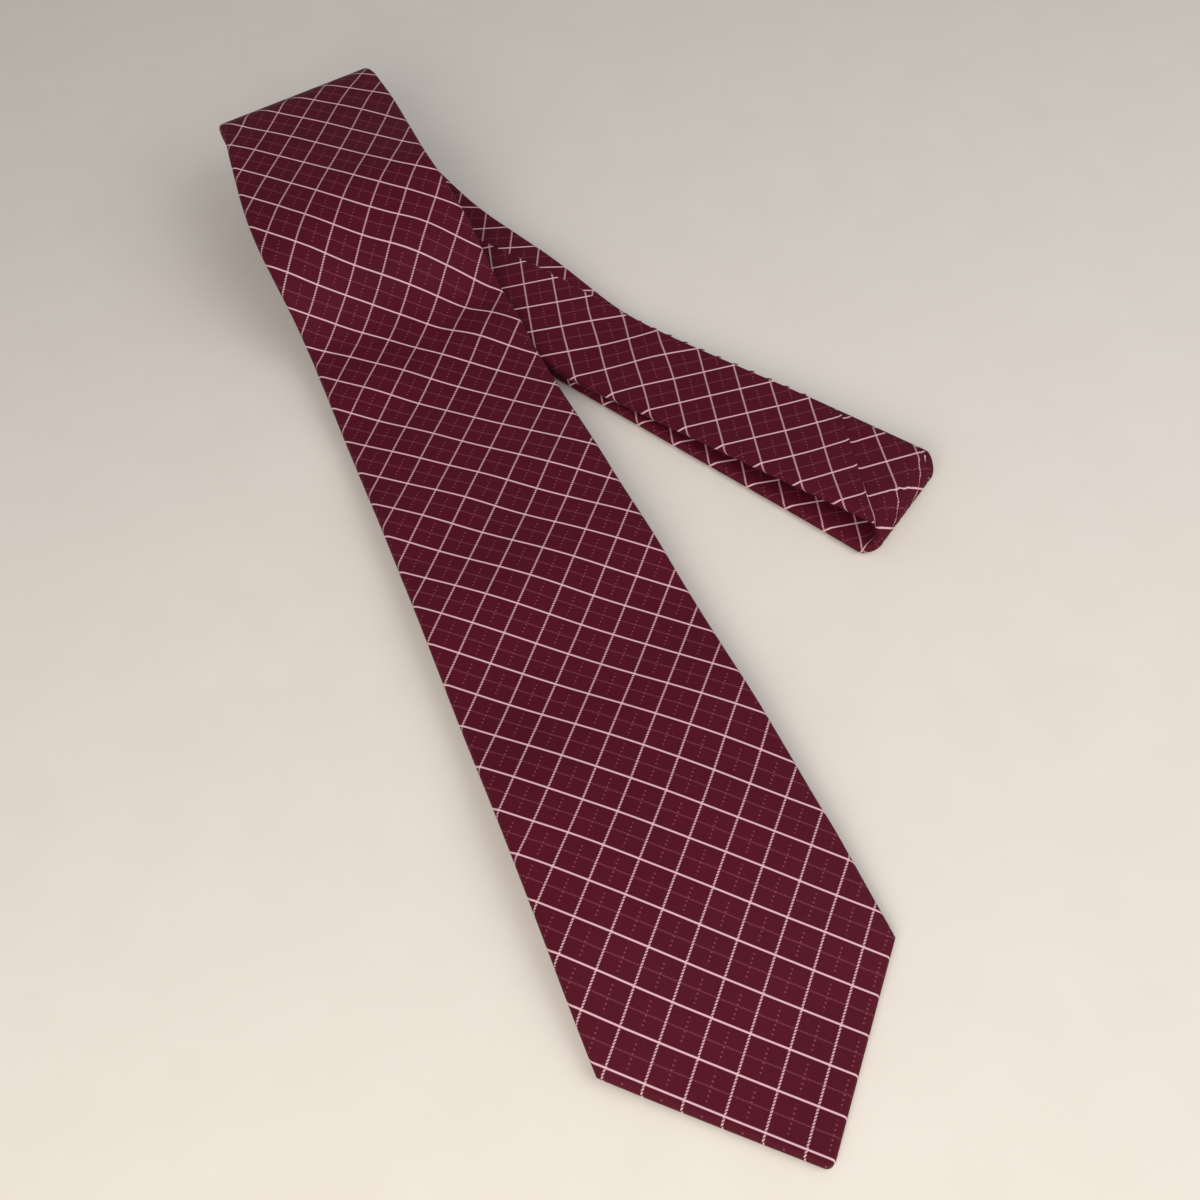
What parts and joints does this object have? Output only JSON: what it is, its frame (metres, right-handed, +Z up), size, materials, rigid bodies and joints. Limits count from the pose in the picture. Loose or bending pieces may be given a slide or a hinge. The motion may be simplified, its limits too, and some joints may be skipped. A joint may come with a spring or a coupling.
{
  "type": "necktie",
  "caption": "Pointed bias-cut necktie laid in four legs, with its neck turned out to one side; interlined, lined at the tips, with a keeper loop and a blank label.",
  "frame": {"origin": "centre of the box round the laid tie, on the surface it lies on", "axes": "+Z up from the surface, -Y along the front blade towards its tip, +X towards the neck's outer fold"},
  "size_m": [0.1868, 0.4368, 0.0416],
  "materials": {
    "shell_cloth": "matt twill weave with a light sheen",
    "interlining": "brushed wool canvas",
    "lining": "smooth plain-weave lining",
    "label": "woven satin label",
    "tag": "printed tape, left blank",
    "thread": "twisted sewing thread"
  },
  "bodies": {
    "root": {"front_shell_fold": "shell_cloth", "front_shell_neck": "shell_cloth", "neck_shell": "shell_cloth", "tail_shell": "shell_cloth", "interlining_fold": "interlining", "interlining_neck": "interlining", "interlining_rear": "interlining", "tail_tipping": "lining", "tail_bar_tack": "thread", "neck_slip_stitch": "thread", "tail_slip_stitch": "thread", "neck_join_stitch": "thread", "tail_join_stitch": "thread"},
    "blade": {"front_shell_blade": "shell_cloth", "interlining_blade": "interlining", "blade_tipping": "lining", "keeper_loop": "shell_cloth", "woven_label": "label", "care_tag": "tag", "keeper_tacks": "thread", "label_stitches": "thread", "blade_bar_tack": "thread", "blade_slip_stitch": "thread"}
  },
  "joints": [
    {"name": "blade_unfold", "type": "hinge", "parent": "root", "child": "blade", "pos_m": [-0.05094, 0.21349, 0.0268], "axis": [-0.9842, -0.1771, 0], "range_deg": [0, 180], "deforming": ["front_shell_fold", "interlining_fold"]}
  ]
}
